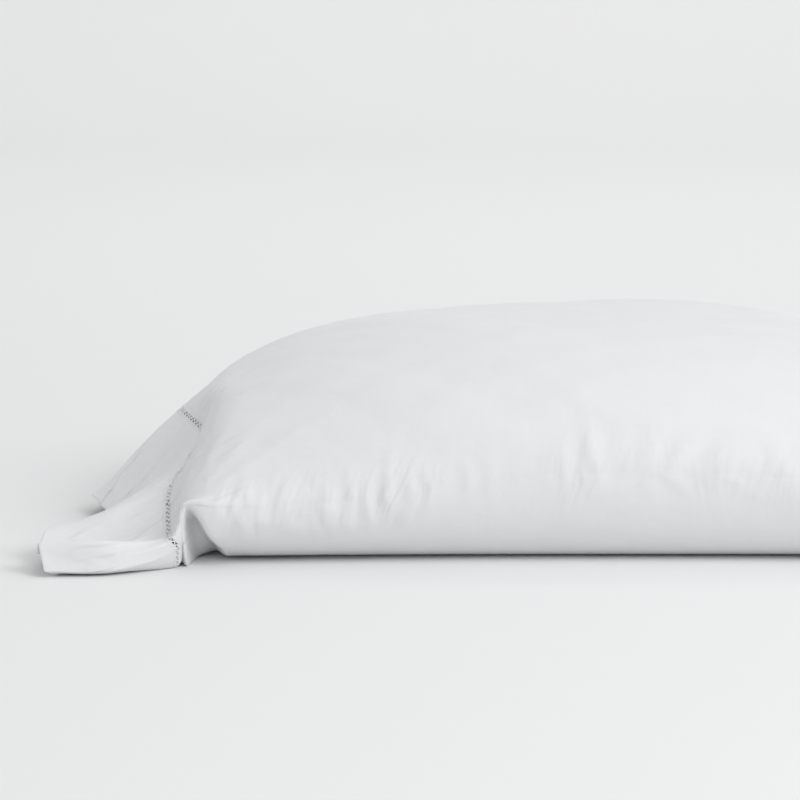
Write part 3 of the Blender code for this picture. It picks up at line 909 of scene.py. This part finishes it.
holes.links.new(mask, holes_out.inputs["Mask"])
print("needle_holes has", len(holes.nodes), "nodes")

# %% [markdown]
# ## The cloth's material
#
# The cloth is a soft white that lets a little light through, with a faint sheen. Its bump adds up the weave, the
# crumple and the fine folds. It is a plain Principled material, and only the values that vary come from nodes.

# %% The cloth's material
WHITE = (0.835, 0.838, 0.845, 1)
WHITE_SHADE = (0.810, 0.813, 0.820, 1)
HEM_WHITE = (0.900, 0.903, 0.909, 1)  # two layers of cloth are whiter than one
# painted shade: the grey of the shade inside each needle hole
HOLE_SHADE_GREY = (0.60, 0.60, 0.59, 1)
HOLE_DEPTH = 0.00015


def plain_material(name, values):
    """A Principled material with these even values, its tree and its shader."""
    material = bpy.data.materials.new(name)
    material.use_nodes = True
    shader = material.node_tree.nodes["Principled BSDF"]
    for socket, value in values.items():
        shader.inputs[socket].default_value = value
    return material, material.node_tree, shader


def mixed(share, first, second):
    """A mix of two colours, each a socket or a value. share is a socket."""
    return add_node("Mix", {"Factor": share, 6: first, 7: second}, data_type="RGBA").outputs[2]


def raised(height, distance):
    """The normals of a surface that is raised by this height times this distance."""
    return add_node("Bump", {"Strength": 1.0, "Distance": distance, "Height": height}).outputs["Normal"]


cloth_material, tree, shader = plain_material(
    "cotton_percale",
    {
        "Base Color": WHITE,
        "Roughness": 0.68,
        "Subsurface Weight": 0.35,
        "Subsurface Radius": (1.0, 1.0, 0.95),
        "Subsurface Scale": 0.0030,
        "Sheen Weight": 0.18,
        "Sheen Roughness": 0.45,
        "Specular IOR Level": 0.30,
    },
)
flat_map = tree.nodes.new("ShaderNodeUVMap")
flat_map.uv_map = "cloth"
flat, place = flat_map.outputs["UV"], tree.nodes.new("ShaderNodeTexCoord").outputs["Object"]
woven = add_node("Group", {"Cloth": flat, "Place": place}, node_tree=weave).outputs
pierced = add_node("Group", {"Cloth": flat}, node_tree=holes).outputs["Mask"]
folds = add_node("Group", {"Cloth": flat}, node_tree=fine).outputs
doubled = maths("GREATER_THAN", parts(flat)["X"], MID_SLIT)
white = mixed(woven["Shade"], WHITE_SHADE, mixed(doubled, WHITE, HEM_WHITE))
# painted shade: the needle holes are mixed towards the grey of the shade inside them
tree.links.new(mixed(pierced, white, HOLE_SHADE_GREY), shader.inputs["Base Color"])
height = maths("ADD", woven["Height"], maths("ADD", folds["Puckers"], folds["Creases"]))
height = maths("SUBTRACT", height, product(pierced, HOLE_DEPTH))
tree.links.new(raised(height, 1.0), shader.inputs["Normal"])
print(cloth_material.name, "has", len(tree.nodes), "nodes")

# %% [markdown]
# ## Thread
#
# The stitches are sewing cotton, a shade whiter than one layer of cloth, with a fine twist. The bundles are the
# cloth's own threads, and at this size they look the same.

# %% The thread's material, and which piece has which
THREAD_WHITE = (0.86, 0.862, 0.87, 1)
TWISTS = 2400  # a metre
TWIST_RISE = 0.0001

thread_material, thread_tree, thread_shader = plain_material(
    "sewing_cotton", {"Base Color": THREAD_WHITE, "Roughness": 0.6, "Sheen Weight": 0.15}
)
thread_place = thread_tree.nodes.new("ShaderNodeTexCoord").outputs["Object"]
twist = raised(noise(thread_place, TWISTS, 1.0), TWIST_RISE)
thread_tree.links.new(twist, thread_shader.inputs["Normal"])

for piece in (case, hem):
    piece.data.materials.append(cloth_material)
for piece in (threads, stitches):
    piece.data.materials.append(thread_material)
print("materials:", cloth_material.name, thread_material.name)

# %% [markdown]
# ## The studio
#
# A pale sheet of paper runs from the floor up the wall in one bend, so that there is no line between them. The light
# is soft: a bright room all round, one large softbox from the right and the front, and another that lights the wall.

# %% The floor, the backdrop and the light
HALF_BACKDROP = 7.0
FLOOR_FROM = -4.0
BEND_FROM = 3.2
BEND_RADIUS = 1.2
WALL_HEIGHT = 6.0
UNDER_CASE = 0.0002  # how far the paper lies under the case, so that their faces never meet
PAPER_GREY = (0.885, 0.885, 0.885, 1)

bend = np.radians(np.linspace(-90, 0, 24))
curve = np.stack([BEND_FROM + BEND_RADIUS * np.cos(bend), BEND_RADIUS * (1 + np.sin(bend))], axis=1)
profile = np.concatenate([[[FLOOR_FROM, 0.0]], curve, [[BEND_FROM + BEND_RADIUS, WALL_HEIGHT]]])
profile[:, 1] -= UNDER_CASE
backdrop_points = np.array([[(side, *place) for side in (-HALF_BACKDROP, HALF_BACKDROP)] for place in profile])
quads = [(2 * k, 2 * k + 1, 2 * k + 3, 2 * k + 2) for k in range(len(profile) - 1)]
backdrop = add_piece("backdrop", backdrop_points, quads)
backdrop.data.materials.append(plain_material("paper", {"Base Color": PAPER_GREY, "Roughness": 0.95})[0])


def softbox(name, location, target, size, power):
    """A square area light that faces its target."""
    light = bpy.data.lights.new(name, "AREA")
    light.size = size
    light.energy = power
    lamp = bpy.data.objects.new(name, light)
    lamp.location = location
    lamp.rotation_euler = (Vector(target) - Vector(location)).to_track_quat("-Z", "Y").to_euler()
    bpy.context.scene.collection.objects.link(lamp)


softbox("key", (2.2, -1.9, 2.0), (0, 0, 0.05), size=1.8, power=48)
softbox("wall_light", (0.4, 1.8, 3.0), (0.4, 3.9, 0.3), size=1.6, power=19)
world = bpy.data.worlds.new("studio")
bpy.context.scene.world = world
world.use_nodes = True
world.node_tree.nodes["Background"].inputs["Color"].default_value = (0.985, 0.99, 1.0, 1)
world.node_tree.nodes["Background"].inputs["Strength"].default_value = 0.68
bpy.context.scene.view_settings.view_transform = "Standard"
print("two softboxes and the room's light are set")

# %% [markdown]
# ## Attach the pieces
#
# All four pieces stand for the one imported solid, so each is attached to the same body and the solid is hidden. The
# filled part has the pillow in it, and the hem hangs past it, held on by the bundles and the stitches.

# %% Attach each piece to the one body, and hide the imported solid
for piece in (case, hem, threads, stitches):
    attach(piece, "root")
    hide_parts("pillowcase")
